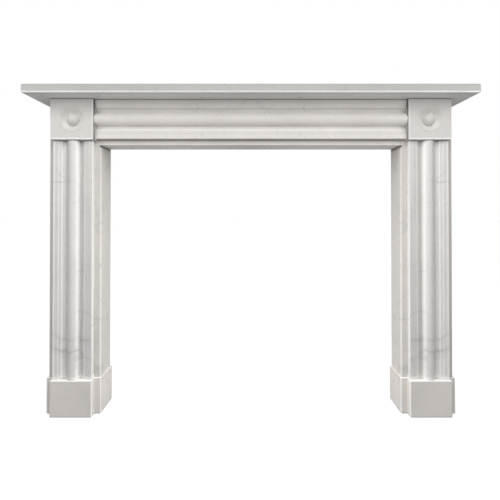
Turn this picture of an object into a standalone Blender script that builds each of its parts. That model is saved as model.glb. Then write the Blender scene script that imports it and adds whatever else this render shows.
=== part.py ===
"""A slab-built marble fireplace surround with moulded pilasters, a matching frieze and bullseye corner blocks.

Units are metres. +Z is up, the surround faces -Y and its back stands against a wall at the shelf's back edge.
The origin is on the floor, midway across the surround and midway through the shelf's depth.
"""

from math import atan2, cos, hypot, pi, sin

import bmesh
import bpy

# The fire opening between the inner returns and under the soffit slab
OPENING_WIDTH = 1.075
OPENING_HEIGHT = 0.952

# Section of the moulding that the pilasters and the frieze share, from its edge to its middle
FLAT_WIDTH = 0.0195
FILLET_WIDTH = 0.010
HOLLOW_WIDTH = 0.0175
TORUS_WIDTH = 0.045
FILLET_DEPTH = 0.003
HOLLOW_DEPTH = 0.0135
TORUS_PROUD = 0.009

# Slabs behind the moulded fronts: thickness, and depth from the wall to their front edges
RETURN_THICKNESS = 0.019
OUTER_RETURN_THICKNESS = 0.021
SOFFIT_THICKNESS = 0.0185
RETURN_DEPTH = 0.096
# How far the moulded slabs' flats stand in front of the returns, and how far they reach behind that edge
FRONT_STEP = 0.020
SLAB_LAP = 0.010

# Corner blocks: how far each stands past the moulded slabs in front, beside the opening, outside and below
BLOCK_PROUD = 0.011
BLOCK_REVEAL_INNER = 0.007
BLOCK_REVEAL_OUTER = 0.005
BLOCK_DROP = 0.0045

# Roundel on each corner block: a dished disc with a ball at its centre and a thin groove round it
BALL_RADIUS = 0.0235
BALL_PROUD = 0.008
DISH_RADIUS = 0.0425
DISH_DEPTH = 0.014
GROOVE_RADIUS = 0.0465
GROOVE_WIDTH = 0.004
GROOVE_DEPTH = 0.001

# Feet: height, how far the main face and the set-back wings stand past what they carry, and their walls
FOOT_HEIGHT = 0.127
FOOT_PROUD = 0.011
FOOT_REVEAL = 0.004
WING_PROUD = 0.006
WING_REVEAL = 0.007
FOOT_FRONT_WALL = 0.046
FOOT_SIDE_WALL = 0.030

# Shelf: thickness, and overhang past the corner blocks in front and at each end
SHELF_THICKNESS = 0.030
SHELF_OVERHANG_FRONT = 0.063
SHELF_OVERHANG_END = 0.0645

# Rounding of the polished arrises
SHELF_ARRIS = 0.0045
FOOT_ARRIS = 0.003
BLOCK_ARRIS = 0.002
SLAB_ARRIS = 0.0015

# Bedding gap between touching pieces
JOINT = 0.0003

# Facets of the curved surfaces
TORUS_STEPS = 20
HOLLOW_STEPS = 8
ROUNDEL_STEPS = 56
BALL_STEPS = 8
DISH_STEPS = 5
GROOVE_STEPS = 4
ARRIS_STEPS = 2

# Sizes worked out from the ones above
MOULDING_WIDTH = 2 * (FLAT_WIDTH + FILLET_WIDTH + HOLLOW_WIDTH) + TORUS_WIDTH
FLATS_DEPTH = RETURN_DEPTH + FRONT_STEP
BLOCK_DEPTH = FLATS_DEPTH + BLOCK_PROUD
SHELF_DEPTH = BLOCK_DEPTH + SHELF_OVERHANG_FRONT
WALL_Y = SHELF_DEPTH / 2

PILASTER_IN = OPENING_WIDTH / 2 + RETURN_THICKNESS
PILASTER_OUT = PILASTER_IN + MOULDING_WIDTH
LEG_CENTRE = (PILASTER_IN + PILASTER_OUT) / 2
LEG_OUT = PILASTER_OUT + OUTER_RETURN_THICKNESS
BLOCK_IN = PILASTER_IN - BLOCK_REVEAL_INNER
BLOCK_OUT = PILASTER_OUT + BLOCK_REVEAL_OUTER
SHELF_HALF = BLOCK_OUT + SHELF_OVERHANG_END

SOFFIT_TOP = OPENING_HEIGHT + SOFFIT_THICKNESS
FRIEZE_BOTTOM = SOFFIT_TOP + JOINT
FRIEZE_TOP = FRIEZE_BOTTOM + MOULDING_WIDTH
BLOCK_BOTTOM = FRIEZE_BOTTOM - BLOCK_DROP
SHELF_BOTTOM = FRIEZE_TOP + JOINT
SHELF_TOP = SHELF_BOTTOM + SHELF_THICKNESS

SIDES = {"left": -1, "right": 1}


def y_at(depth):
    """The Y coordinate of a plane that stands this far in front of the wall."""
    return WALL_Y - depth


def marble(name, tone):
    """Polished white marble with a faint grey tone."""
    material = bpy.data.materials.new(name)
    material.use_nodes = True
    shader = material.node_tree.nodes["Principled BSDF"]
    shader.inputs["Base Color"].default_value = (tone, tone, 0.98 * tone, 1)
    shader.inputs["Roughness"].default_value = 0.35
    shader.inputs["Metallic"].default_value = 0.0
    return material


def add_piece(name, bm, tone=0.82):
    """Turns the bmesh into a named object with its own marble and faces that point out."""
    bmesh.ops.recalc_face_normals(bm, faces=bm.faces)
    mesh = bpy.data.meshes.new(name)
    bm.to_mesh(mesh)
    bm.free()
    mesh.materials.append(marble(name + "_marble", tone))
    piece = bpy.data.objects.new(name, mesh)
    bpy.context.scene.collection.objects.link(piece)
    return piece


def prism(outline, low, high, place):
    """A bmesh that carries a closed outline of (u, d) points from low to high; place turns u, d and t into X, Y, Z."""
    bm = bmesh.new()
    ends = [[bm.verts.new(place(u, d, t)) for u, d in outline] for t in (low, high)]
    for ring in ends:
        bm.faces.new(ring)
    for i in range(len(outline)):
        j = (i + 1) % len(outline)
        bm.faces.new((ends[0][i], ends[0][j], ends[1][j], ends[1][i]))
    return bm


def box(low, high):
    """A bmesh box between two corners."""
    outline = [(low[0], low[1]), (high[0], low[1]), (high[0], high[1]), (low[0], high[1])]
    return prism(outline, low[2], high[2], lambda u, d, t: (u, d, t))


def round_arrises(bm, width, chosen):
    """Rounds the convex edges whose midpoint and direction the chosen test accepts."""
    bmesh.ops.recalc_face_normals(bm, faces=bm.faces)
    edges = []
    for edge in bm.edges:
        middle = (edge.verts[0].co + edge.verts[1].co) / 2
        along = (edge.verts[1].co - edge.verts[0].co).normalized()
        if edge.is_convex and edge.calc_face_angle() > 0.1 and chosen(middle, along):
            edges.append(edge)
    bmesh.ops.bevel(
        bm,
        geom=edges,
        offset=width,
        offset_type="OFFSET",
        segments=ARRIS_STEPS,
        profile=0.5,
        affect="EDGES",
        clamp_overlap=True,
    )


def moulding_half():
    """The section from the torus crest to the outer arris, as (u from the middle, d in front of the flats)."""
    rise = TORUS_PROUD + HOLLOW_DEPTH
    half = TORUS_WIDTH / 2
    sweep = 2 * atan2(rise, half)
    radius = half / sin(sweep)
    points = []
    for i in range(TORUS_STEPS // 2 + 1):
        angle = sweep * i / (TORUS_STEPS // 2)
        points.append((radius * sin(angle), TORUS_PROUD - radius * (1 - cos(angle))))
    for i in range(1, HOLLOW_STEPS + 1):
        angle = pi / 2 * i / HOLLOW_STEPS
        climb = (HOLLOW_DEPTH - FILLET_DEPTH) * (1 - cos(angle))
        points.append((half + HOLLOW_WIDTH * sin(angle), climb - HOLLOW_DEPTH))
    flat_start = half + HOLLOW_WIDTH + FILLET_WIDTH
    points.append((flat_start, -FILLET_DEPTH))
    points.append((flat_start, 0.0))
    for i in range(ARRIS_STEPS + 1):
        angle = pi / 2 * i / ARRIS_STEPS
        edge = MOULDING_WIDTH / 2 - SLAB_ARRIS
        points.append((edge + SLAB_ARRIS * sin(angle), SLAB_ARRIS * (cos(angle) - 1)))
    return points


def moulding_outline():
    """The closed section of a moulded slab, with its plain back."""
    half = moulding_half()
    back = -(FRONT_STEP + SLAB_LAP)
    left = [(-u, d) for u, d in reversed(half[1:])]
    return left + half + [(MOULDING_WIDTH / 2, back), (-MOULDING_WIDTH / 2, back)]


def make_pilaster(side, sign):
    """The moulded front slab of a leg, from the foot to the corner block."""
    bm = prism(
        moulding_outline(),
        FOOT_HEIGHT + JOINT,
        BLOCK_BOTTOM - JOINT,
        lambda u, d, t: (sign * LEG_CENTRE + u, y_at(FLATS_DEPTH + d), t),
    )
    add_piece("pilaster_" + side, bm)


def make_frieze():
    """The moulded slab that spans the opening between the corner blocks, bedded on the soffit slab."""
    centre = (FRIEZE_BOTTOM + FRIEZE_TOP) / 2
    bm = prism(
        moulding_outline(),
        -(BLOCK_IN - JOINT),
        BLOCK_IN - JOINT,
        lambda u, d, t: (t, y_at(FLATS_DEPTH + d), centre + u),
    )
    add_piece("frieze", bm)


def make_soffit_slab():
    """The set-back slab under the frieze, carried by the inner returns and fitted between the pilasters."""
    half = PILASTER_IN - JOINT
    bm = box((-half, y_at(RETURN_DEPTH), OPENING_HEIGHT), (half, WALL_Y, SOFFIT_TOP))
    front = y_at(RETURN_DEPTH) + SLAB_ARRIS

    def front_arris(middle, along):
        return abs(along.x) > 0.9 and middle.y < front

    round_arrises(bm, SLAB_ARRIS, front_arris)
    add_piece("soffit_slab", bm, 0.8)


def make_inner_return(side, sign):
    """The jamb slab that lines the opening, from the foot to the soffit slab."""
    near, far = OPENING_WIDTH / 2, PILASTER_IN - JOINT
    make_return("inner_return_" + side, sign, near, far, OPENING_HEIGHT - JOINT, near)


def make_outer_return(side, sign):
    """The slab that closes the outer side of a leg, from the foot to the shelf."""
    near, far = PILASTER_OUT + JOINT, LEG_OUT
    make_return("outer_return_" + side, sign, near, far, SHELF_BOTTOM - JOINT, far)


def make_return(name, sign, near, far, top, shown):
    """An upright slab between two distances from the middle; the arris of its shown face is rounded."""
    low, high = sorted((sign * near, sign * far))
    bm = box((low, y_at(RETURN_DEPTH), FOOT_HEIGHT + JOINT), (high, WALL_Y, top))
    front = y_at(RETURN_DEPTH) + SLAB_ARRIS

    def shown_arris(middle, along):
        return abs(along.z) > 0.9 and middle.y < front and abs(middle.x - sign * shown) < SLAB_ARRIS

    round_arrises(bm, SLAB_ARRIS, shown_arris)
    add_piece(name, bm, 0.8)


def make_foot(side, sign):
    """The stepped block under a leg: a main face, set-back wings and an open hollow at the back."""
    main_in, main_out = PILASTER_IN - FOOT_REVEAL, PILASTER_OUT + FOOT_REVEAL
    wing_in, wing_out = OPENING_WIDTH / 2 - WING_REVEAL, LEG_OUT + WING_REVEAL
    hollow_in, hollow_out = wing_in + FOOT_SIDE_WALL, wing_out - FOOT_SIDE_WALL
    main_depth = FLATS_DEPTH + FOOT_PROUD
    wing_depth = RETURN_DEPTH + WING_PROUD
    hollow_depth = main_depth - FOOT_FRONT_WALL
    outer = [(main_out, main_depth), (main_out, wing_depth), (wing_out, wing_depth), (wing_out, 0.0)]
    hollow = [(hollow_out, 0.0), (hollow_out, hollow_depth), (hollow_in, hollow_depth), (hollow_in, 0.0)]
    inner = [(wing_in, 0.0), (wing_in, wing_depth), (main_in, wing_depth), (main_in, main_depth)]
    bm = prism(outer + hollow + inner, 0.0, FOOT_HEIGHT, lambda u, d, t: (sign * u, y_at(d), t))

    def outside(middle, along):
        across = abs(middle.x)
        in_hollow = hollow_in - 1e-5 < across < hollow_out + 1e-5 and middle.y > y_at(hollow_depth) - 1e-5
        on_wall = middle.y > WALL_Y - 1e-5
        return not in_hollow and not on_wall

    round_arrises(bm, FOOT_ARRIS, outside)
    add_piece("foot_" + side, bm, 0.8)


def roundel_profile():
    """The roundel's surface from its outer edge to its centre, as (radius, height above the block's face)."""
    points = []
    for i in range(GROOVE_STEPS + 1):
        across = i / GROOVE_STEPS
        radius = GROOVE_RADIUS + GROOVE_WIDTH * (0.5 - across)
        points.append((radius, -GROOVE_DEPTH * sin(pi * across)))
    for i in range(DISH_STEPS + 1):
        radius = DISH_RADIUS + (BALL_RADIUS - DISH_RADIUS) * i / DISH_STEPS
        points.append((radius, -DISH_DEPTH * (1 - (radius / DISH_RADIUS) ** 2)))
    base = points[-1][1]
    rise = BALL_PROUD - base
    sweep = 2 * atan2(rise, BALL_RADIUS)
    sphere = BALL_RADIUS / sin(sweep)
    for i in range(1, BALL_STEPS):
        angle = sweep * (1 - i / BALL_STEPS)
        points.append((sphere * sin(angle), BALL_PROUD - sphere * (1 - cos(angle))))
    return points


def make_corner_block(side, sign):
    """The square block over a pilaster, with its turned roundel."""
    low, high = sorted((sign * BLOCK_IN, sign * BLOCK_OUT))
    back, front = y_at(RETURN_DEPTH + JOINT), y_at(BLOCK_DEPTH)
    top = SHELF_BOTTOM - JOINT
    bm = box((low, front, BLOCK_BOTTOM), (high, back, top))

    def front_arris(middle, along):
        return middle.y < front + 1e-5

    round_arrises(bm, BLOCK_ARRIS, front_arris)
    face = min(bm.faces, key=lambda f: f.calc_center_median().y)
    rim = list(face.edges)
    bmesh.ops.delete(bm, geom=[face], context="FACES_ONLY")
    centre_x, centre_z = (low + high) / 2, (BLOCK_BOTTOM + top) / 2
    rings = []
    for radius, height in roundel_profile():
        ring = []
        for i in range(ROUNDEL_STEPS):
            angle = 2 * pi * (i + 0.5) / ROUNDEL_STEPS
            ring.append(bm.verts.new((centre_x + radius * cos(angle), front - height, centre_z + radius * sin(angle))))
        rings.append(ring)
    for outer, inner in zip(rings, rings[1:]):
        for i in range(ROUNDEL_STEPS):
            j = (i + 1) % ROUNDEL_STEPS
            bm.faces.new((outer[i], outer[j], inner[j], inner[i]))
    crest = bm.verts.new((centre_x, front - BALL_PROUD, centre_z))
    for i in range(ROUNDEL_STEPS):
        bm.faces.new((rings[-1][i], rings[-1][(i + 1) % ROUNDEL_STEPS], crest))
    edge = [bm.edges.get((rings[0][i], rings[0][(i + 1) % ROUNDEL_STEPS])) for i in range(ROUNDEL_STEPS)]
    bmesh.ops.triangle_fill(bm, use_beauty=True, edges=rim + edge)
    add_piece("corner_block_" + side, bm, 0.84)


def make_shelf():
    """The plain slab on top, with rounded arrises in front and at its ends."""
    bm = box((-SHELF_HALF, y_at(SHELF_DEPTH), SHELF_BOTTOM), (SHELF_HALF, WALL_Y, SHELF_TOP))

    def off_the_wall(middle, along):
        return middle.y < WALL_Y - 1e-5

    round_arrises(bm, SHELF_ARRIS, off_the_wall)
    add_piece("shelf", bm, 0.8)


def main():
    for obj in list(bpy.data.objects):
        bpy.data.objects.remove(obj)
    make_shelf()
    make_frieze()
    make_soffit_slab()
    for side, sign in SIDES.items():
        make_corner_block(side, sign)
        make_pilaster(side, sign)
        make_inner_return(side, sign)
        make_outer_return(side, sign)
        make_foot(side, sign)


main()
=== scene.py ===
"""The looks of a slab-built marble fireplace surround: fine meshes, veined marble, a studio and a camera."""

from math import atan2, cos, pi, radians, sin, tan

import bmesh
import bpy
from mathutils import Matrix, Vector


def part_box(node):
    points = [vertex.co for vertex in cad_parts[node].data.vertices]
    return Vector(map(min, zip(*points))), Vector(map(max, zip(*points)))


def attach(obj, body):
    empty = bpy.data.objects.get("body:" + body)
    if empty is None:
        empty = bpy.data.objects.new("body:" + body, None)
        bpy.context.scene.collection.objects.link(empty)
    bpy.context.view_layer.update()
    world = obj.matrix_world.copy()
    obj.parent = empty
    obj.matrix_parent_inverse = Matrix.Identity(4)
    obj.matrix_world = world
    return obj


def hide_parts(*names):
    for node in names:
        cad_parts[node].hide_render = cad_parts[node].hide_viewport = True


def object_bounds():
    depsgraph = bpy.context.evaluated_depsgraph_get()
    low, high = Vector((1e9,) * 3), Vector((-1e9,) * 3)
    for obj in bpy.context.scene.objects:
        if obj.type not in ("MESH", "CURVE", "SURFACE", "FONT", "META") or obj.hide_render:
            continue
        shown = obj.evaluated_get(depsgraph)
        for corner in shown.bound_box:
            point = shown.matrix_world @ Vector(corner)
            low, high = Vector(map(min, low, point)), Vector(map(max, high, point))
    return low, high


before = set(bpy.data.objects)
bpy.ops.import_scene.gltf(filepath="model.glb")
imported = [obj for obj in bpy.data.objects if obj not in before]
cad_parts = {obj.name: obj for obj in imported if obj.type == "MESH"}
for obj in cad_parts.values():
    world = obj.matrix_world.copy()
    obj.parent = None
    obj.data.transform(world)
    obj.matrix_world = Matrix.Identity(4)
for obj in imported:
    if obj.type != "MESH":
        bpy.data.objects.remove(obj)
CAD_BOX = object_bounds()
ROOT = "root"
SIDES = {"left": -1, "right": 1}

# Section of the moulding that the pilasters and the frieze share, in metres
FLAT_WIDTH = 0.0195
FILLET_WIDTH = 0.010
HOLLOW_WIDTH = 0.0175
TORUS_WIDTH = 0.045
FILLET_DEPTH = 0.003
HOLLOW_DEPTH = 0.0135
TORUS_PROUD = 0.009
MOULDING_WIDTH = 2 * (FLAT_WIDTH + FILLET_WIDTH + HOLLOW_WIDTH) + TORUS_WIDTH

# Roundel on the corner blocks
BALL_RADIUS = 0.0235
BALL_PROUD = 0.008
DISH_RADIUS = 0.0425
DISH_DEPTH = 0.014
GROOVE_RADIUS = 0.0465
GROOVE_WIDTH = 0.004
GROOVE_DEPTH = 0.001

# Stepped plan of the feet
FOOT_REVEAL = 0.004
WING_PROUD = 0.006
FOOT_FRONT_WALL = 0.046
FOOT_SIDE_WALL = 0.030

# Polished arrises: radius, and strips round each
SHELF_ARRIS = 0.0045
FOOT_ARRIS = 0.003
BLOCK_ARRIS = 0.002
SLAB_ARRIS = 0.0015
QUIRK_ARRIS = 0.0012
ARRIS_STRIPS = 5

# Facets of the curved surfaces
TORUS_STEPS = 72
HOLLOW_STEPS = 24
ROUNDEL_STEPS = 160
BALL_STEPS = 24
DISH_STEPS = 16
GROOVE_STEPS = 8
SHARP_ANGLE = radians(32)

# An edge that bends by less than this, in radians, is no arris, and points this close are one
LEAST_BEND = 0.1
TOUCH = 0.00001

# Bedding gap between touching slabs
JOINT = 0.0003

# Linear colours of the marble slabs, each cut from a block of its own
TINTS = {
    "shelf": (0.513, 0.507, 0.491),
    "frieze": (0.796, 0.767, 0.738),
    "block": (0.745, 0.724, 0.697),
    "pilaster": (0.736, 0.716, 0.697),
    "return": (0.669, 0.642, 0.604),
    "soffit": (0.813, 0.765, 0.733),
    "foot": (0.735, 0.697, 0.662),
}
VEIN_GREY = (0.30, 0.30, 0.295)
# Pale colour of the painted highlights
HIGHLIGHT_WHITE = (0.94, 0.935, 0.92)
# Grey of the joint lines, which also paint shade into corners, recesses and under overhangs
JOINT_SHADE_GREY = (0.16, 0.155, 0.15)

# Natural variation: each noise field as cells per metre, detail, roughness and distortion, then the values
# between which it sets in, and how strongly
NOISE_MIDDLE = 0.5
MIST = (4.5, 3, 0.55, 0.4)
MIST_EDGES = (0.35, 0.65)
MIST_LIGHT = 1.02
MIST_DARK = 0.975
SMOKE = (22, 4, 0.6, 0.8)
SMOKE_EDGES = (0.5, 0.75)
SMOKE_SHARE = 0.07
GRAIN = (260, 2)
GRAIN_EDGES = (0.35, 0.75)
GRAIN_SHARE = 0.03
THREADS = (5.5, 5, 0.55, 0.9)
THREAD_REACH = 0.016
THREAD_SHARE = 0.16
THREAD_PATCHES = (3.1, 1)
PATCH_EDGES = (0.5, 0.65)

# Honed surface: roughness between two values of the smoke, and a fine ripple
ROUGHNESS = (0.27, 0.36)
ROUGHNESS_EDGES = (0.3, 0.7)
RIPPLE = (120, 3)
RIPPLE_STRENGTH = 0.12
RIPPLE_DEPTH = 0.001

# Placed veins: reach of a clear and a smoky one, the halo round each, and noise that bends and swells them
VEIN_REACH = 0.0028
SMOKY_REACH = 0.010
HALO_TIMES = 3.0
HALO_SHARE = 0.4
VEIN_BEND = 0.008
BEND_UP = (38, 3, 0.6)
BEND_ACROSS = (47, 3, 0.6)
SWELL = (70, 2)
SWELL_EDGES = (0.35, 0.65)
SWELL_TIMES = (1.5, 0.7)

# Veins as (across, height, darkness): across is the distance from the middle line, carried on round the
# arrises by the depth, so that a vein runs from a front face on to the side face that follows it
LEG_LEVEL = [
    [(0.722, 0.819, 0), (0.708, 0.818, 0.3), (0.694, 0.818, 0.42), (0.673, 0.818, 0.38), (0.659, 0.822, 0.16),
     (0.641, 0.818, 0.14), (0.613, 0.804, 0.1), (0.600, 0.798, 0)],
    [(0.712, 0.880, 0), (0.706, 0.867, 0.18), (0.698, 0.850, 0.2), (0.670, 0.832, 0.16), (0.655, 0.826, 0)],
    [(0.552, 0.678, 0), (0.545, 0.677, 0.22), (0.530, 0.673, 0.24), (0.503, 0.680, 0.18), (0.485, 0.688, 0)],
    [(0.545, 0.640, 0), (0.532, 0.637, 0.2), (0.512, 0.638, 0.2), (0.495, 0.642, 0)],
    [(0.650, 0.356, 0), (0.631, 0.362, 0.22), (0.596, 0.360, 0.25), (0.582, 0.351, 0.25),
     (0.559, 0.333, 0.32), (0.538, 0.331, 0.3), (0.494, 0.322, 0.2), (0.467, 0.325, 0.32), (0.450, 0.345, 0)],
    [(0.552, 0.415, 0), (0.543, 0.410, 0.22), (0.530, 0.397, 0.22), (0.503, 0.377, 0.24), (0.485, 0.369, 0.2),
     (0.470, 0.362, 0)],
    [(0.722, 0.289, 0), (0.712, 0.286, 0.2), (0.698, 0.281, 0.25), (0.673, 0.267, 0.25), (0.648, 0.269, 0.3),
     (0.631, 0.274, 0.2), (0.613, 0.271, 0.25), (0.603, 0.264, 0.3), (0.585, 0.271, 0.2), (0.575, 0.276, 0)],
    [(0.720, 0.236, 0), (0.712, 0.235, 0.2), (0.698, 0.232, 0.25), (0.680, 0.225, 0.4), (0.648, 0.230, 0.4),
     (0.624, 0.228, 0.45), (0.606, 0.207, 0.3), (0.578, 0.197, 0.25), (0.545, 0.157, 0.2), (0.53, 0.145, 0)],
]
LEG_UPRIGHT = [
    [(0.552, 0.722, 0), (0.551, 0.713, 0.22), (0.549, 0.695, 0.25), (0.545, 0.677, 0.28), (0.548, 0.665, 0.2),
     (0.543, 0.649, 0.22), (0.541, 0.636, 0.1), (0.540, 0.628, 0)],
]
LEG_SMOKY = [
    [(0.724, 0.285, 0), (0.705, 0.280, 0.14), (0.694, 0.273, 0.2), (0.672, 0.262, 0.22), (0.660, 0.265, 0.12),
     (0.648, 0.267, 0.24), (0.636, 0.268, 0.04), (0.616, 0.262, 0.2), (0.606, 0.261, 0.3),
     (0.592, 0.262, 0.24), (0.583, 0.265, 0.2), (0.575, 0.268, 0)],
    [(0.724, 0.239, 0), (0.702, 0.232, 0.26), (0.688, 0.226, 0.36), (0.670, 0.221, 0.32),
     (0.650, 0.227, 0.32), (0.632, 0.228, 0.3), (0.615, 0.222, 0.22), (0.600, 0.204, 0.18),
     (0.585, 0.195, 0.14), (0.574, 0.190, 0)],
]
FOOT_SMOKY = [
    [(0.714, 0.073, 0), (0.695, 0.071, 0.05), (0.660, 0.069, 0.07), (0.635, 0.068, 0.06), (0.618, 0.068, 0)],
]
LEVEL_VEINS = {"pilaster": LEG_LEVEL, "return": LEG_LEVEL}
LEVEL_SMOKY = {"pilaster": LEG_SMOKY, "return": LEG_SMOKY, "foot": FOOT_SMOKY}
UPRIGHT_VEINS = {
    "return": LEG_UPRIGHT,
    "frieze": [
        [(0.228, 1.108, 0), (0.224, 1.101, 0.14), (0.208, 1.088, 0.26), (0.203, 1.076, 0.24),
         (0.220, 1.062, 0.14), (0.228, 1.054, 0)],
        [(0.490, 1.020, 0), (0.487, 1.011, 0.14), (0.473, 0.989, 0.14), (0.476, 0.975, 0)],
        [(0.098, 1.012, 0), (0.102, 1.006, 0.14), (0.118, 0.987, 0.14), (0.121, 0.980, 0)],
        [(0.157, 1.050, 0), (0.157, 1.036, 0.12), (0.156, 1.020, 0.12), (0.158, 1.006, 0)],
    ],
    "shelf": [
        [(0.512, 1.138, 0), (0.511, 1.130, 0.16), (0.509, 1.124, 0.14), (0.505, 1.112, 0)],
        [(0.455, 1.134, 0), (0.454, 1.127, 0.12), (0.456, 1.116, 0.12), (0.452, 1.110, 0)],
        [(0.402, 1.131, 0), (0.404, 1.124, 0.16), (0.413, 1.118, 0.18), (0.418, 1.111, 0)],
        [(0.360, 1.131, 0), (0.358, 1.122, 0.1), (0.362, 1.115, 0.1), (0.361, 1.110, 0)],
    ],
}

# Clouds as ((across, height), reach, darkness)
LEG_CLOUDS = [
    ((0.633, 0.206), 0.026, 0.2), ((0.672, 0.205), 0.024, 0.12), ((0.688, 0.255), 0.014, 0.14),
    ((0.545, 0.152), 0.030, 0.24), ((0.515, 0.146), 0.028, 0.22), ((0.568, 0.228), 0.020, 0.06),
    ((0.553, 0.664), 0.018, 0.26), ((0.551, 0.644), 0.010, 0.2),
    ((0.712, 0.741), 0.014, 0.07), ((0.671, 0.597), 0.014, 0.08), ((0.578, 0.822), 0.018, 0.07),
]
CLOUDS = {
    "pilaster": LEG_CLOUDS,
    "return": LEG_CLOUDS,
    # The foot's cloud is painted shade that darkens its inner side
    "foot": [((0.590, 0.065), 0.10, 0.13)],
    "frieze": [
        ((0.193, 0.983), 0.006, 0.34), ((0.213, 0.980), 0.006, 0.16), ((0.318, 0.982), 0.009, 0.1),
        ((0.361, 1.106), 0.010, 0.08), ((0.125, 1.048), 0.009, 0.08),
    ],
    "shelf": [
        ((0.410, 1.121), 0.016, 0.12), ((0.494, 1.117), 0.010, 0.1), ((0.249, 1.113), 0.008, 0.08),
        ((0.203, 1.120), 0.008, 0.08),
    ],
}

# Pale lines painted as highlights: along arrises, on hollow walls and ledges that face the light, and up the
# foot of each pilaster as light thrown back from the ledge. Grey lines along the joints: the joints' own
# dark, and painted shade in the joints and corners, in recesses, under overhangs, along the floor and down
# the pilasters' inner flats. Each is a strength and one or more bands. A band is a plane of the part's
# right-hand piece, how far past it the band's middle lies, and its reach. It is full up to a share of that
# reach, then fades.
LINE_CORE_SHARE = 0.3
WIDE = 0.0042
FINE = 0.0025
FACE = 0.0010
RIGHT_HAND = {
    "shelf": "shelf",
    "frieze": "frieze",
    "soffit": "soffit_slab",
    "block": "corner_block_right",
    "pilaster": "pilaster_right",
    "return": "inner_return_right",
    "foot": "foot_right",
}
# How far the flat front lies behind the foremost point, where it does
FRONT_BEHIND_CREST = {"frieze": TORUS_PROUD, "pilaster": TORUS_PROUD, "block": BALL_PROUD}
# Painted highlights, part by part
HIGHLIGHT_LINES = {
    "shelf": [
        (0.6, ("bottom", 0.003, WIDE), ("front", 0, 0.0032)),
        (0.4, ("top", 0, FINE), ("front", 0, FINE)),
        (0.15, ("bottom", 0, FACE)),
    ],
    "frieze": [
        (0.9, ("bottom", 0, WIDE), ("front", 0, WIDE)),
        (0.9, ("low_lip", 0.003, 0.005), ("front", 0.007, 0.005)),
        (0.5, ("high_lip", FILLET_WIDTH, FINE), ("front", 0.0015, FINE)),
    ],
    "pilaster": [
        (0.6, ("inner", 0, WIDE), ("front", 0.003, WIDE)),
        (0.5, ("high_lip", 0.009, FINE), ("front", 0.0015, FINE)),
        (1.0, ("high_lip", -0.001, 0.0038), ("front", 0.005, 0.005)),
        (0.6, ("low_lip", 0, FINE), ("front", FILLET_DEPTH, FINE)),
        (0.7, ("outer", -0.0035, 0.0055), ("front", 0, FINE)),
        (0.4, ("low_torus", 0.0055, 0.005)),
        (0.4, ("high_lip", -0.007, 0.005)),
        (0.6, ("bottom", 0, 0.016)),
    ],
    "block": [
        (1.0, ("bottom", 0.002, 0.006), ("front", 0, WIDE)),
        (0.5, ("inner", 0.003, WIDE), ("front", 0, FINE)),
    ],
    "foot": [
        (1.0, ("top", 0, 0.003), ("front", 0.007, 0.012)),
        (1.0, ("main_inner", 0, WIDE), ("front", 0.003, 0.005)),
        (0.5, ("main_outer", 0, FINE), ("front", 0, FINE)),
        (1.0, ("top", 0, 0.003), ("wing", 0.004, 0.006)),
        (0.8, ("inner", 0, WIDE), ("wing", 0, WIDE)),
        (1.0, ("outer", 0, 0.006), ("wing", 0, WIDE)),
    ],
    "return": [(0.65, ("inner", 0, WIDE), ("front", 0.008, 0.009))],
    "soffit": [(0.5, ("bottom", 0, WIDE), ("front", 0, WIDE))],
}
# Dark joints and painted shade: under overhangs, in corners and recesses, along the floor and down the
# pilasters' inner flats
JOINT_SHADE_LINES = {
    "shelf": [(0.25, ("bottom", 0, FACE), ("front", 0.012, 0.018))],
    "frieze": [
        (0.45, ("outer", 0, 0.0016)),
        (0.9, ("outer", 0, 0.0020), ("top", 0, 0.09)),
        (0.7, ("top", 0, WIDE)),
        (0.3, ("bottom", 0, FINE)),
        (0.14, ("bottom", FLAT_WIDTH, FINE)),
    ],
    "pilaster": [
        (0.65, ("top", 0, 0.006)),
        (0.2, ("bottom", 0, FINE)),
        (0.1, ("low_torus", -0.005, 0.007)),
        (0.14, ("inner", FLAT_WIDTH / 2, 0.009), ("floor", 0.45, 0.5)),
    ],
    "block": [
        (0.65, ("inner", 0, 0.0016), ("front", 0.006, 0.009)),
        (1.0, ("inner", 0, 0.0016), ("front", 0.006, 0.009), ("top", 0, 0.09)),
        (0.75, ("top", 0, WIDE)),
    ],
    "foot": [(0.4, ("bottom", 0, 0.006))],
    "return": [(0.2, ("bottom", 0, WIDE)), (0.95, ("top", 0, 0.012), ("inner", 0, FINE))],
    "soffit": [(0.42, ("top", JOINT, 0.009))],
}

# The floor and the room. The room's glow is by direction, from straight down (0) to straight up (1). Behind
# the surround it gains the back glow, in full once a direction leans back by the last value.
FLOOR_REACH = 30
FLOOR_WHITE = 0.9
FLOOR_ROUGHNESS = 0.9
FLOOR_GLOW = 0.55
ROOM_GLOW = [
    (0.0, 0.48), (0.26, 0.48), (0.34, 0.03), (0.6, 0.03),
    (0.72, 0.60), (0.88, 0.65), (0.95, 0.25), (1.0, 0.30),
]
BACK_GLOW = 0.12
BACK_STRETCH = 0.3

# Soft lights in mirrored pairs: name, place and target on the right, size, and watts
PAIRED_LIGHTS = [
    ("front_light", (0, -1.9, 2.4), (0, 0, 0.7), (1.6, 0.6), 3.9),
    ("opening_light", (0, -0.05, 0.36), (0.5, -0.05, 0.36), (0.4, 0.6), 1.05),
    ("side_light", (2.3, -1.7, 1.2), (0.6, 0, 0.7), (1.2, 1.6), 10.0),
    ("near_light", (0.35, -1.5, 1.2), (0.5, 0, 0.7), (0.6, 1.0), 1.8),
]

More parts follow.
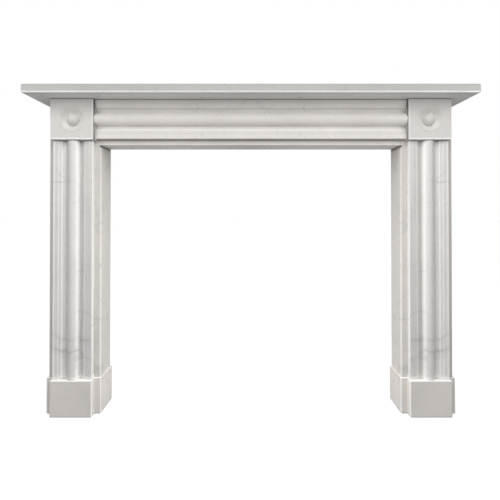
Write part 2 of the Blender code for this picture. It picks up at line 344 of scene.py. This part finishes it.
# Large soft lights that reach some pieces only: degrees round from the front, over the middle line, degrees
# up from level, and watts. Each group aims at the middle of its own pieces, here on the right.
CROSS_DISTANCE = 3.0
CROSS_SIZE = (1.2, 1.2)
CROSS_LIGHTS = {
    "leg": [(35, 20, 10.4), (35, 45, 12.9), (60, 45, 23.0), (80, 20, 16.2)],
    "block": [(4, 15, 14.5), (4, 42, 20)],
    "frieze": [(45, -15, 1.4), (45, 15, 15.6), (45, 45, 10.0)],
    "shelf": [(45, -15, 31.2)],
}
LIT_MIDDLES = {
    "leg": (0.63, 0, 0.62),
    "block": (0.63, 0, 1.04),
    "frieze": (0, 0, 1.05),
    "shelf": (0, 0, 1.05),
}
LIT_PIECES = {
    "leg": ("pilaster", "inner_return", "outer_return", "foot"),
    "block": ("corner_block",),
    "frieze": ("frieze", "soffit_slab"),
    "shelf": ("shelf",),
}

# The camera, from the photograph's perspective, in its own pixels and in metres
PHOTO_SIZE = 500
CENTRE_COLUMN = 250.85
HORIZON_ROW = 210.0
FOCAL_PIXELS = 360.0
SENSOR = 36.0
CAMERA_HEIGHT = 0.720
CAMERA_GAP = 1.190
CAMERA_PITCH = radians(0.5)


def arc(centre, radius, start, end, steps):
    """Points on a circular arc, both ends included."""
    points = []
    for i in range(steps + 1):
        angle = start + (end - start) * i / steps
        points.append((centre[0] + radius * cos(angle), centre[1] + radius * sin(angle)))
    return points


def moulding_half():
    """Half the moulded section from the torus crest outwards, as (u from the middle, d from the flats)."""
    rise = TORUS_PROUD + HOLLOW_DEPTH
    half = TORUS_WIDTH / 2
    sweep = 2 * atan2(rise, half)
    radius = half / sin(sweep)
    points = arc((0, TORUS_PROUD - radius), radius, pi / 2, pi / 2 - sweep, TORUS_STEPS // 2)
    drop = HOLLOW_DEPTH - FILLET_DEPTH
    reach = HOLLOW_WIDTH - QUIRK_ARRIS
    for i in range(1, HOLLOW_STEPS + 1):
        angle = pi / 2 * i / HOLLOW_STEPS
        climb = (drop - QUIRK_ARRIS) * (1 - cos(angle))
        points.append((half + reach * sin(angle), climb - HOLLOW_DEPTH))
    lip = (half + HOLLOW_WIDTH, -FILLET_DEPTH - QUIRK_ARRIS)
    points += arc(lip, QUIRK_ARRIS, pi, pi / 2, ARRIS_STRIPS)
    step = half + HOLLOW_WIDTH + FILLET_WIDTH
    points.append((step, -FILLET_DEPTH))
    points += arc((step + QUIRK_ARRIS, -QUIRK_ARRIS), QUIRK_ARRIS, pi, pi / 2, ARRIS_STRIPS)
    edge = MOULDING_WIDTH / 2 - SLAB_ARRIS
    points += arc((edge, -SLAB_ARRIS), SLAB_ARRIS, pi / 2, 0, ARRIS_STRIPS)
    return points


def section_curve(name, thickness):
    """A flat closed curve of the whole moulded section, with its plain back."""
    half = moulding_half()
    left = [(-u, d) for u, d in reversed(half[1:])]
    outline = left + half + [(MOULDING_WIDTH / 2, -thickness), (-MOULDING_WIDTH / 2, -thickness)]
    curve = bpy.data.curves.new(name, "CURVE")
    curve.dimensions = "2D"
    curve.fill_mode = "NONE"
    spline = curve.splines.new("POLY")
    spline.points.add(len(outline) - 1)
    for point, (u, d) in zip(spline.points, outline):
        point.co = (u, d, 0, 1)
    spline.use_cyclic_u = True
    obj = bpy.data.objects.new(name, curve)
    bpy.context.scene.collection.objects.link(obj)
    return obj


def tree_input(tree, name, kind, value=None):
    """Adds a named input to a node tree."""
    socket = tree.interface.new_socket(name, in_out="INPUT", socket_type=kind)
    if value is not None:
        socket.default_value = value
    return socket


def moulded_slab_tree():
    """Geometry nodes that carry a section curve along a length, close its ends and set the material."""
    tree = bpy.data.node_groups.new("moulded slab", "GeometryNodeTree")
    tree_input(tree, "Geometry", "NodeSocketGeometry")
    tree_input(tree, "Section", "NodeSocketObject")
    tree_input(tree, "Length", "NodeSocketFloat", 1.0)
    tree_input(tree, "Material", "NodeSocketMaterial")
    tree.interface.new_socket("Geometry", in_out="OUTPUT", socket_type="NodeSocketGeometry")
    add, link = tree.nodes.new, tree.links.new
    given = add("NodeGroupInput")
    section = add("GeometryNodeObjectInfo")
    link(given.outputs["Section"], section.inputs["Object"])
    fill = add("GeometryNodeFillCurve")
    fill.mode = "NGONS"
    link(section.outputs["Geometry"], fill.inputs["Curve"])
    along = add("ShaderNodeCombineXYZ")
    link(given.outputs["Length"], along.inputs["Z"])
    extrude = add("GeometryNodeExtrudeMesh")
    extrude.mode = "FACES"
    extrude.inputs["Individual"].default_value = False
    link(fill.outputs["Mesh"], extrude.inputs["Mesh"])
    link(along.outputs["Vector"], extrude.inputs["Offset"])
    flip = add("GeometryNodeFlipFaces")
    link(fill.outputs["Mesh"], flip.inputs["Mesh"])
    join = add("GeometryNodeJoinGeometry")
    link(extrude.outputs["Mesh"], join.inputs["Geometry"])
    link(flip.outputs["Mesh"], join.inputs["Geometry"])
    merge = add("GeometryNodeMergeByDistance")
    merge.inputs["Distance"].default_value = TOUCH
    link(join.outputs["Geometry"], merge.inputs["Geometry"])
    realize = add("GeometryNodeRealizeInstances")
    link(merge.outputs["Geometry"], realize.inputs["Geometry"])
    finish = add("GeometryNodeSetMaterial")
    link(realize.outputs["Geometry"], finish.inputs["Geometry"])
    link(given.outputs["Material"], finish.inputs["Material"])
    result = add("NodeGroupOutput")
    link(finish.outputs["Geometry"], result.inputs["Geometry"])
    return tree


def grown(name, tree, values):
    """The plain mesh that a geometry node tree makes from its named values."""
    holder = bpy.data.objects.new(name, bpy.data.meshes.new(name))
    bpy.context.scene.collection.objects.link(holder)
    modifier = holder.modifiers.new("shape", "NODES")
    modifier.node_group = tree
    for item in tree.interface.items_tree:
        if item.item_type == "SOCKET" and item.in_out == "INPUT" and item.name in values:
            modifier[item.identifier] = values[item.name]
    graph = bpy.context.evaluated_depsgraph_get()
    mesh = bpy.data.meshes.new_from_object(holder.evaluated_get(graph), depsgraph=graph)
    bpy.data.objects.remove(holder)
    return mesh


def settle_piece(mesh, node, material):
    """Gives a mesh even normals and its marble, and lets it stand for its CAD node."""
    checked = bmesh.new()
    checked.from_mesh(mesh)
    bmesh.ops.recalc_face_normals(checked, faces=checked.faces)
    checked.to_mesh(mesh)
    checked.free()
    mesh.shade_smooth()
    mesh.set_sharp_from_angle(angle=SHARP_ANGLE)
    mesh.materials.clear()
    mesh.materials.append(material)
    name = "marble_" + node
    rough = bpy.data.objects.new(name + "_rough", mesh)
    bpy.context.scene.collection.objects.link(rough)
    even = rough.modifiers.new("even", "WEIGHTED_NORMAL")
    even.keep_sharp = True
    graph = bpy.context.evaluated_depsgraph_get()
    settled = bpy.data.meshes.new_from_object(rough.evaluated_get(graph), depsgraph=graph)
    bpy.data.objects.remove(rough)
    settled.name = name
    piece = bpy.data.objects.new(name, settled)
    bpy.context.scene.collection.objects.link(piece)
    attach(piece, ROOT)
    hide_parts(node)


def round_arrises(bm, width, chosen):
    """Rounds the convex edges whose midpoint and direction the chosen test accepts."""
    bmesh.ops.recalc_face_normals(bm, faces=bm.faces)
    edges = []
    for edge in bm.edges:
        middle = (edge.verts[0].co + edge.verts[1].co) / 2
        along = (edge.verts[1].co - edge.verts[0].co).normalized()
        if edge.is_convex and edge.calc_face_angle() > LEAST_BEND and chosen(middle, along):
            edges.append(edge)
    bmesh.ops.bevel(
        bm,
        geom=edges,
        offset=width,
        offset_type="OFFSET",
        segments=ARRIS_STRIPS,
        profile=0.5,
        affect="EDGES",
        clamp_overlap=True,
    )


def prism(outline, low, high):
    """An upright bmesh prism over a closed outline of (x, y) points."""
    bm = bmesh.new()
    ends = [[bm.verts.new((x, y, z)) for x, y in outline] for z in (low, high)]
    for ring in ends:
        bm.faces.new(ring)
    for i in range(len(outline)):
        j = (i + 1) % len(outline)
        bm.faces.new((ends[0][i], ends[0][j], ends[1][j], ends[1][i]))
    return bm


def box_prism(low, high):
    """A bmesh box between two corners."""
    outline = [(low.x, low.y), (high.x, low.y), (high.x, high.y), (low.x, high.y)]
    return prism(outline, low.z, high.z)


def to_mesh(bm, name):
    """A mesh of a finished bmesh."""
    mesh = bpy.data.meshes.new(name)
    bm.to_mesh(mesh)
    bm.free()
    return mesh


def make_slab(node, width, material):
    """A plain slab in a node's box, with every arris rounded except those against the wall."""
    low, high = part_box(node)
    bm = box_prism(low, high)

    def off_the_wall(middle, along):
        return middle.y < high.y - width

    round_arrises(bm, width, off_the_wall)
    settle_piece(to_mesh(bm, node), node, material)


def make_moulded(node, across, along, tree, section, material):
    """A moulded slab in a node's box, with its section laid across and its length along the given axes."""
    low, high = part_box(node)
    size = high - low
    length = size.dot(along)
    mesh = grown(node, tree, {"Section": section, "Length": length, "Material": material})
    out = Vector((0, -1, 0))
    facing = across.cross(out).dot(along)
    centre = (low + high) / 2
    start = centre - along * (length / 2) * facing
    origin = Vector((start.x, low.y + TORUS_PROUD, start.z))
    turn = Matrix((across, out, along * facing)).transposed().to_4x4()
    mesh.transform(Matrix.Translation(origin) @ turn)
    settle_piece(mesh, node, material)


def make_foot(side, material):
    """The stepped block under a leg: a main face, set-back wings and an open hollow at the back."""
    node = "foot_" + side
    low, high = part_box(node)
    pilaster_low, pilaster_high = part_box("pilaster_" + side)
    main_low, main_high = pilaster_low.x - FOOT_REVEAL, pilaster_high.x + FOOT_REVEAL
    wing_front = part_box("inner_return_" + side)[0].y - WING_PROUD
    hollow_low, hollow_high = low.x + FOOT_SIDE_WALL, high.x - FOOT_SIDE_WALL
    hollow_front = low.y + FOOT_FRONT_WALL
    left = [(main_low, low.y), (main_low, wing_front), (low.x, wing_front), (low.x, high.y)]
    hollow = [(hollow_low, high.y), (hollow_low, hollow_front)]
    hollow += [(hollow_high, hollow_front), (hollow_high, high.y)]
    right = [(high.x, high.y), (high.x, wing_front), (main_high, wing_front), (main_high, low.y)]
    bm = prism(left + hollow + right, low.z, high.z)

    def outside(middle, along):
        between_walls = hollow_low - TOUCH < middle.x < hollow_high + TOUCH
        in_hollow = between_walls and middle.y > hollow_front - TOUCH
        return not in_hollow and middle.y < high.y - TOUCH

    round_arrises(bm, FOOT_ARRIS, outside)
    settle_piece(to_mesh(bm, node), node, material)


def roundel_profile():
    """The roundel's surface from its outer edge to its centre, as (radius, height above the block's face)."""
    points = []
    for i in range(GROOVE_STEPS + 1):
        across = i / GROOVE_STEPS
        radius = GROOVE_RADIUS + GROOVE_WIDTH * (0.5 - across)
        points.append((radius, -GROOVE_DEPTH * sin(pi * across)))
    for i in range(DISH_STEPS + 1):
        radius = DISH_RADIUS + (BALL_RADIUS - DISH_RADIUS) * i / DISH_STEPS
        points.append((radius, -DISH_DEPTH * (1 - (radius / DISH_RADIUS) ** 2)))
    rise = BALL_PROUD - points[-1][1]
    sweep = 2 * atan2(rise, BALL_RADIUS)
    sphere = BALL_RADIUS / sin(sweep)
    for i in range(1, BALL_STEPS):
        angle = sweep * (1 - i / BALL_STEPS)
        points.append((sphere * sin(angle), BALL_PROUD - sphere * (1 - cos(angle))))
    return points


def make_corner_block(side, material):
    """The square block over a pilaster, with its turned roundel."""
    node = "corner_block_" + side
    low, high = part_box(node)
    front = low.y + BALL_PROUD
    low.y = front
    bm = box_prism(low, high)

    def front_arris(middle, along):
        return middle.y < front + TOUCH

    round_arrises(bm, BLOCK_ARRIS, front_arris)
    face = min(bm.faces, key=lambda f: f.calc_center_median().y)
    rim = list(face.edges)
    bmesh.ops.delete(bm, geom=[face], context="FACES_ONLY")
    centre = (low + high) / 2
    rings = []
    for radius, height in roundel_profile():
        ring = []
        for i in range(ROUNDEL_STEPS):
            angle = 2 * pi * (i + 0.5) / ROUNDEL_STEPS
            spot = (centre.x + radius * cos(angle), front - height, centre.z + radius * sin(angle))
            ring.append(bm.verts.new(spot))
        rings.append(ring)
    for outer, inner in zip(rings, rings[1:]):
        for i in range(ROUNDEL_STEPS):
            j = (i + 1) % ROUNDEL_STEPS
            bm.faces.new((outer[i], outer[j], inner[j], inner[i]))
    crest = bm.verts.new((centre.x, front - BALL_PROUD, centre.z))
    for i in range(ROUNDEL_STEPS):
        bm.faces.new((rings[-1][i], rings[-1][(i + 1) % ROUNDEL_STEPS], crest))
    outer = rings[0]
    edge = [bm.edges.get((outer[i], outer[(i + 1) % ROUNDEL_STEPS])) for i in range(ROUNDEL_STEPS)]
    bmesh.ops.triangle_fill(bm, use_beauty=True, edges=rim + edge)
    settle_piece(to_mesh(bm, node), node, material)


def maths(tree, operation, *values):
    """The result of a maths node on sockets and plain numbers."""
    node = tree.nodes.new("ShaderNodeMath")
    node.operation = operation
    for socket, value in zip(node.inputs, values):
        if isinstance(value, (int, float)):
            socket.default_value = value
        else:
            tree.links.new(value, socket)
    return node.outputs[0]


def combined(tree, operation, values):
    """Values joined in turn by a maths operation."""
    total = values[0]
    for value in values[1:]:
        total = maths(tree, operation, total, value)
    return total


def spread(tree, value, low, high, to_low=0.0, to_high=1.0, smooth=True):
    """A value carried from one range to another and held within it."""
    node = tree.nodes.new("ShaderNodeMapRange")
    node.interpolation_type = "SMOOTHSTEP" if smooth else "LINEAR"
    ends = {"From Min": low, "From Max": high, "To Min": to_low, "To Max": to_high}
    for name, end in ends.items():
        node.inputs[name].default_value = end
    tree.links.new(value, node.inputs["Value"])
    return node.outputs["Result"]


def noise(tree, point, scale, detail, roughness=0.5, distortion=0.0):
    """A noise value round one half; scale is in cells per metre."""
    node = tree.nodes.new("ShaderNodeTexNoise")
    values = {"Scale": scale, "Detail": detail, "Roughness": roughness, "Distortion": distortion}
    for name, value in values.items():
        node.inputs[name].default_value = value
    tree.links.new(point, node.inputs["Vector"])
    return node.outputs["Fac"]


def blend(tree, amount, first, second):
    """A colour between two colours or colour sockets."""
    node = tree.nodes.new("ShaderNodeMix")
    node.data_type = "RGBA"
    for name, value in {"Factor": amount, "A": first, "B": second}.items():
        socket = next(s for s in node.inputs if s.name == name and s.enabled)
        if isinstance(value, (int, float)):
            socket.default_value = value
        elif isinstance(value, tuple):
            socket.default_value = (*value, 1)
        else:
            tree.links.new(value, socket)
    return next(s for s in node.outputs if s.enabled)


def follow(tree, run, points):
    """A smooth curve through (0 to 1, value) points, read at the run."""
    node = tree.nodes.new("ShaderNodeFloatCurve")
    node.mapping.use_clip = False
    curve = node.mapping.curves[0]
    for x, y in points[2:]:
        curve.points.new(x, y)
    for point, place in zip(curve.points, sorted(points)):
        point.location = place
        point.handle_type = "AUTO_CLAMPED"
    node.mapping.update()
    tree.links.new(run, node.inputs["Value"])
    return node.outputs["Value"]


def vein(tree, along, off, swell, places, reach=VEIN_REACH):
    """Darkness of a vein through its places, each (along, off, darkness)."""
    places = sorted(places)
    start, end = places[0][0], places[-1][0]
    low = min(place[1] for place in places)
    rise = max(max(place[1] for place in places) - low, reach)
    run = spread(tree, along, start, end, smooth=False)
    runs = [(place[0] - start) / (end - start) for place in places]
    middle = follow(tree, run, [(r, (place[1] - low) / rise) for r, place in zip(runs, places)])
    darkness = follow(tree, run, [(r, place[2]) for r, place in zip(runs, places)])
    height = maths(tree, "MULTIPLY", maths(tree, "SUBTRACT", off, low), 1 / rise)
    gap = maths(tree, "ABSOLUTE", maths(tree, "SUBTRACT", height, middle))
    gap = maths(tree, "MULTIPLY", gap, swell)
    core = spread(tree, gap, reach / rise, 0)
    halo = spread(tree, gap, HALO_TIMES * reach / rise, 0, to_high=HALO_SHARE)
    return maths(tree, "MULTIPLY", maths(tree, "MAXIMUM", core, halo), darkness)


def cloud(tree, across, height, middle, reach, darkness):
    """Darkness of a soft round cloud."""
    squares = []
    for value, centre in zip((across, height), middle):
        gap = maths(tree, "SUBTRACT", value, centre)
        squares.append(maths(tree, "MULTIPLY", gap, gap))
    distance = maths(tree, "SQRT", maths(tree, "ADD", *squares))
    return spread(tree, distance, reach, 0, to_high=darkness)


def line_planes(part):
    """Planes that a part's lines are set from, on its right-hand piece, each as an axis and a place on it."""
    low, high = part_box(RIGHT_HAND[part])
    planes = {
        "floor": ("z", 0),
        "bottom": ("z", low.z),
        "top": ("z", high.z),
        "inner": ("x", low.x),
        "outer": ("x", high.x),
        "front": ("y", low.y + FRONT_BEHIND_CREST.get(part, 0)),
    }
    if part in ("pilaster", "frieze"):
        axis = "x" if part == "pilaster" else "z"
        middle = (getattr(low, axis) + getattr(high, axis)) / 2
        lip = TORUS_WIDTH / 2 + HOLLOW_WIDTH
        planes["low_lip"] = (axis, middle - lip)
        planes["high_lip"] = (axis, middle + lip)
        planes["low_torus"] = (axis, middle - TORUS_WIDTH / 2)
    if part == "foot":
        carried_low, carried_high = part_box("pilaster_right")
        planes["main_inner"] = ("x", carried_low.x - FOOT_REVEAL)
        planes["main_outer"] = ("x", carried_high.x + FOOT_REVEAL)
        planes["wing"] = ("y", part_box("inner_return_right")[0].y - WING_PROUD)
    return planes


def strongest_line(tree, spots, planes, lines):
    """Strength of the strongest of the lines, each as strong as the weakest of its bands."""
    strengths = []
    for strength, *bands in lines:
        insides = []
        for plane, past, reach in bands:
            axis, place = planes[plane]
            gap = maths(tree, "ABSOLUTE", maths(tree, "SUBTRACT", spots[axis], place + past))
            insides.append(spread(tree, gap, reach, reach * LINE_CORE_SHARE, to_high=strength))
        strengths.append(combined(tree, "MINIMUM", insides))
    return combined(tree, "MAXIMUM", strengths)


def stone_body(tree, point, smoke, tint):
    """Colour of the marble itself: cloudy, with faint smoke, grain and fine natural veins."""
    pale = tuple(min(c * MIST_LIGHT, 1) for c in tint)
    dim = tuple(c * MIST_DARK for c in tint)
    body = blend(tree, spread(tree, noise(tree, point, *MIST), *MIST_EDGES), dim, pale)
    body = blend(tree, spread(tree, smoke, *SMOKE_EDGES, to_high=SMOKE_SHARE), body, VEIN_GREY)
    grain = spread(tree, noise(tree, point, *GRAIN), *GRAIN_EDGES, to_high=GRAIN_SHARE)
    body = blend(tree, grain, body, VEIN_GREY)
    ridge = maths(tree, "ABSOLUTE", maths(tree, "SUBTRACT", noise(tree, point, *THREADS), NOISE_MIDDLE))
    patches = spread(tree, noise(tree, point, *THREAD_PATCHES), *PATCH_EDGES)
    threads = spread(tree, ridge, THREAD_REACH, 0, to_high=THREAD_SHARE)
    return blend(tree, maths(tree, "MULTIPLY", threads, patches), body, VEIN_GREY)


def bent(tree, value, point, bend):
    """A value shifted to and fro by noise, so that what is drawn on it wavers."""
    shift = maths(tree, "SUBTRACT", noise(tree, point, *bend), NOISE_MIDDLE)
    return maths(tree, "ADD", value, maths(tree, "MULTIPLY", shift, VEIN_BEND))


def placed_darkness(tree, part, spots, point):
    """Darkness of the veins and clouds that have set places on a part, or None where it has none."""
    across = bent(tree, maths(tree, "SUBTRACT", spots["x"], spots["y"]), point, BEND_ACROSS)
    height = bent(tree, spots["z"], point, BEND_UP)
    swell = spread(tree, noise(tree, point, *SWELL), *SWELL_EDGES, *SWELL_TIMES)
    darks = []
    for places in LEVEL_VEINS.get(part, []):
        darks.append(vein(tree, across, height, swell, places))
    for places in LEVEL_SMOKY.get(part, []):
        darks.append(vein(tree, across, height, swell, places, SMOKY_REACH))
    for places in UPRIGHT_VEINS.get(part, []):
        turned = [(up, side, darkness) for side, up, darkness in places]
        darks.append(vein(tree, height, across, swell, turned))
    for middle, reach, darkness in CLOUDS.get(part, []):
        darks.append(cloud(tree, across, height, middle, reach, darkness))
    return combined(tree, "MAXIMUM", darks) if darks else None


def marble(part, tint):
    """Honed white marble for a part's pieces, mirrored over the middle line."""
    material = bpy.data.materials.new("marble_" + part)
    material.use_nodes = True
    tree = material.node_tree
    add, link = tree.nodes.new, tree.links.new
    shader = tree.nodes["Principled BSDF"]
    where = add("ShaderNodeTexCoord")
    split = add("ShaderNodeSeparateXYZ")
    link(where.outputs["Object"], split.inputs["Vector"])
    spots = {axis: split.outputs[axis.upper()] for axis in "xyz"}
    spots["x"] = maths(tree, "ABSOLUTE", spots["x"])
    mirrored = add("ShaderNodeCombineXYZ")
    for axis, spot in spots.items():
        link(spot, mirrored.inputs[axis.upper()])
    point = mirrored.outputs["Vector"]

    planes = line_planes(part)
    smoke = noise(tree, point, *SMOKE)
    body = stone_body(tree, point, smoke, tint)
    # Painted highlights: pale lines where light falls on arrises, hollow walls and ledges
    body = blend(tree, strongest_line(tree, spots, planes, HIGHLIGHT_LINES[part]), body, HIGHLIGHT_WHITE)
    darkness = placed_darkness(tree, part, spots, point)
    if darkness:
        body = blend(tree, darkness, body, VEIN_GREY)
    # Dark joints, and painted shade in corners, recesses and under overhangs
    body = blend(tree, strongest_line(tree, spots, planes, JOINT_SHADE_LINES[part]), body, JOINT_SHADE_GREY)
    link(body, shader.inputs["Base Color"])
    link(spread(tree, smoke, *ROUGHNESS_EDGES, *ROUGHNESS), shader.inputs["Roughness"])
    bump = add("ShaderNodeBump")
    bump.inputs["Strength"].default_value = RIPPLE_STRENGTH
    bump.inputs["Distance"].default_value = RIPPLE_DEPTH
    link(noise(tree, point, *RIPPLE), bump.inputs["Height"])
    link(bump.outputs["Normal"], shader.inputs["Normal"])
    return material


def make_surround():
    """Every marble piece, from the shelf down to the feet."""
    stone = {part: marble(part, tint) for part, tint in TINTS.items()}
    tree = moulded_slab_tree()
    pilaster_low, pilaster_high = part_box("pilaster_left")
    thickness = pilaster_high.y - pilaster_low.y - TORUS_PROUD
    section = section_curve("section", thickness)
    x_axis, z_axis = Vector((1, 0, 0)), Vector((0, 0, 1))
    make_slab("shelf", SHELF_ARRIS, stone["shelf"])
    make_slab("soffit_slab", SLAB_ARRIS, stone["soffit"])
    make_moulded("frieze", z_axis, x_axis, tree, section, stone["frieze"])
    for side in SIDES:
        make_moulded("pilaster_" + side, x_axis, z_axis, tree, section, stone["pilaster"])
        make_slab("inner_return_" + side, SLAB_ARRIS, stone["return"])
        make_slab("outer_return_" + side, SLAB_ARRIS, stone["return"])
        make_corner_block(side, stone["block"])
        make_foot(side, stone["foot"])
    bpy.data.objects.remove(section)


def area_light(name, place, target, size, power):
    """A soft rectangular studio light aimed at a point."""
    light = bpy.data.lights.new(name, "AREA")
    light.shape = "RECTANGLE"
    light.size, light.size_y = size
    light.energy = power
    obj = bpy.data.objects.new(name, light)
    obj.location = place
    obj.rotation_euler = (Vector(target) - Vector(place)).to_track_quat("-Z", "Y").to_euler()
    obj.visible_camera = False
    bpy.context.scene.collection.objects.link(obj)
    return obj


def lit_group(part, side):
    """A collection of the marble pieces that a group's lights reach, those of one side if they are paired."""
    group = bpy.data.collections.new(f"lit_{part}_{side}")
    for piece in LIT_PIECES[part]:
        for name in ("marble_" + piece, f"marble_{piece}_{side}"):
            if name in bpy.data.objects:
                group.objects.link(bpy.data.objects[name])
    return group


def cross_light(name, middle, turn, lift, power, receivers):
    """A large soft light, far off in a given direction, that reaches the receivers only."""
    away = Vector((sin(turn) * cos(lift), -cos(turn) * cos(lift), sin(lift)))
    light = area_light(name, Vector(middle) + CROSS_DISTANCE * away, middle, CROSS_SIZE, power)
    light.light_linking.receiver_collection = receivers


def make_floor():
    """A wide white floor that glows a little, so that only soft contact shadows show on it."""
    bm = bmesh.new()
    bmesh.ops.create_grid(bm, x_segments=1, y_segments=1, size=FLOOR_REACH)
    floor = bpy.data.objects.new("floor", to_mesh(bm, "floor"))
    bpy.context.scene.collection.objects.link(floor)
    paint = bpy.data.materials.new("floor_white")
    paint.use_nodes = True
    shader = paint.node_tree.nodes["Principled BSDF"]
    shader.inputs["Base Color"].default_value = (FLOOR_WHITE, FLOOR_WHITE, FLOOR_WHITE, 1)
    shader.inputs["Roughness"].default_value = FLOOR_ROUGHNESS
    shader.inputs["Specular IOR Level"].default_value = 0
    shader.inputs["Emission Color"].default_value = (1, 1, 1, 1)
    shader.inputs["Emission Strength"].default_value = FLOOR_GLOW
    floor.data.materials.append(paint)
    floor.visible_diffuse = False
    floor.visible_glossy = False


def make_world():
    """A white room: dim at eye level, brighter above, below and behind, and plain white to the camera."""
    world = bpy.data.worlds.new("studio")
    bpy.context.scene.world = world
    world.use_nodes = True
    tree = world.node_tree
    add, link = tree.nodes.new, tree.links.new
    where = add("ShaderNodeTexCoord")
    split = add("ShaderNodeSeparateXYZ")
    link(where.outputs["Generated"], split.inputs["Vector"])
    dome = follow(tree, spread(tree, split.outputs["Z"], -1, 1, smooth=False), ROOM_GLOW)
    behind = spread(tree, split.outputs["Y"], 0, BACK_STRETCH, to_high=BACK_GLOW)
    room = maths(tree, "ADD", dome, behind)
    path = add("ShaderNodeLightPath")
    seen = maths(tree, "MAXIMUM", room, path.outputs["Is Camera Ray"])
    glow = tree.nodes["Background"]
    glow.inputs["Color"].default_value = (1, 1, 1, 1)
    link(seen, glow.inputs["Strength"])


def make_studio():
    """The room, its floor, and soft lights in mirrored pairs."""
    scene = bpy.context.scene
    scene.view_settings.view_transform = "Standard"
    make_floor()
    make_world()
    for side, sign in SIDES.items():
        for name, place, target, size, power in PAIRED_LIGHTS:
            at, to = (Vector((x * sign, y, z)) for x, y, z in (place, target))
            area_light(name + "_" + side, at, to, size, power)
        for part, lights in CROSS_LIGHTS.items():
            group = lit_group(part, side)
            x, y, z = LIT_MIDDLES[part]
            for turn, lift, power in lights:
                name = f"{part}_light_{side}"
                cross_light(name, (x * sign, y, z), radians(turn) * -sign, radians(lift), power, group)


def make_camera():
    """The camera at the photograph's viewing angle, level but for a slight pitch."""
    data = bpy.data.cameras.new("camera")
    data.sensor_width = SENSOR
    data.lens = SENSOR * FOCAL_PIXELS / PHOTO_SIZE
    horizon_drop = FOCAL_PIXELS * tan(CAMERA_PITCH)
    data.shift_x = (PHOTO_SIZE / 2 - CENTRE_COLUMN) / PHOTO_SIZE
    data.shift_y = (HORIZON_ROW - horizon_drop - PHOTO_SIZE / 2) / PHOTO_SIZE
    camera = bpy.data.objects.new("camera", data)
    camera.location = (0, CAD_BOX[0].y - CAMERA_GAP, CAMERA_HEIGHT)
    camera.rotation_euler = (pi / 2 + CAMERA_PITCH, 0, 0)
    bpy.context.scene.collection.objects.link(camera)
    bpy.context.scene.camera = camera


make_surround()
make_studio()
make_camera()
